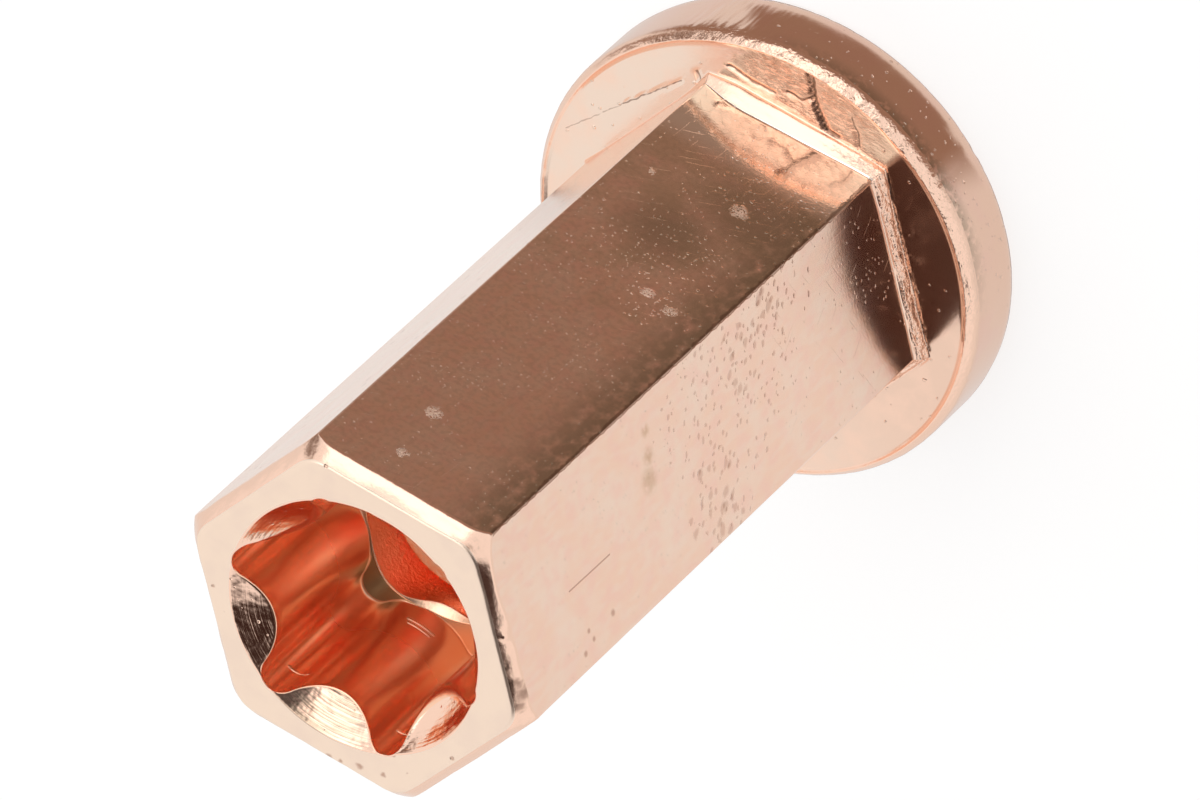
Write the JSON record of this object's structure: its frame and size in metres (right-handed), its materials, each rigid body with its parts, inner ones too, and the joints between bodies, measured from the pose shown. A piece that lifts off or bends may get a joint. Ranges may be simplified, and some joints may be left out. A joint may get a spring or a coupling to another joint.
{
  "type": "exhaust flange nut",
  "caption": "Long copper-plated hexagon nut with a round flange, a six-lobe drive socket in its free end and a threaded hole for an exhaust stud.",
  "frame": {"origin": "centre of the flange's bearing face", "axes": "+Z along the nut's axis, from the bearing face towards the socket end; +X towards a corner of the hexagon"},
  "size_m": [0.0204, 0.0204, 0.035],
  "materials": {
    "copper_plating": "bright copper plating on forged steel"
  },
  "bodies": {
    "root": {"flange_nut": "copper_plating"}
  },
  "joints": []
}
